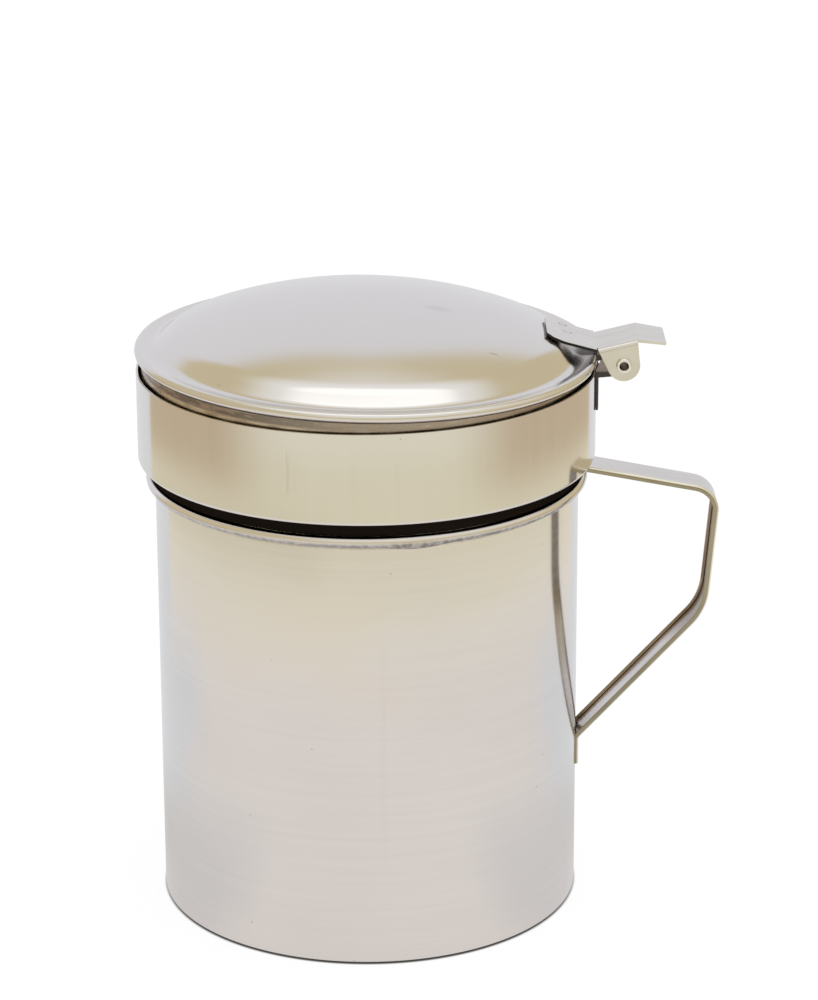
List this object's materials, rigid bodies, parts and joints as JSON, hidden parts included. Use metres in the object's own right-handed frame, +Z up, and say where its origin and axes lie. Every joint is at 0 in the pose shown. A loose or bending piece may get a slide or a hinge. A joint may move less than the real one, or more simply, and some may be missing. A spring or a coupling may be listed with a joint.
{
  "type": "oil keeper",
  "caption": "Lidded stainless steel oil keeper: round pot with a strip handle, lift-out strainer cup with a collar, and a hinged domed lid with a thumb lever.",
  "frame": {"origin": "centre of the circle that the pot stands on", "axes": "+Z up along the pot's axis; +X towards the handle and the hinge; +Y to the left when the handle points ahead"},
  "size_m": [0.1483, 0.117, 0.16],
  "materials": {
    "pot_steel": "satin rolled sheet, fine lines round the wall",
    "handle_steel": "polished strip with burnished edges",
    "cup_steel": "polished sheet with faint draw marks",
    "screen_steel": "perforated sheet, satin",
    "hinge_steel": "polished folded sheet",
    "rivet_steel": "bright rolled rivet",
    "lid_steel": "polished pressed sheet"
  },
  "bodies": {
    "pot": {"pot_wall": "pot_steel", "pot_base": "pot_steel", "pot_handle": "handle_steel"},
    "strainer": {"strainer_cup": "cup_steel", "strainer_screen": "screen_steel", "hinge_bracket": "hinge_steel", "hinge_rivet": "rivet_steel"},
    "lid_and_lever": {"lid": "lid_steel", "thumb_lever": "hinge_steel"}
  },
  "joints": [
    {"name": "strainer_lift", "type": "slide", "parent": "pot", "child": "strainer", "axis": [0, 0, 1], "range_m": [0, 0.04]},
    {"name": "lid_hinge", "type": "hinge", "parent": "strainer", "child": "lid_and_lever", "pos_m": [0.0647, 0, 0.1429], "axis": [0, 1, 0], "range_deg": [0, 140]}
  ]
}
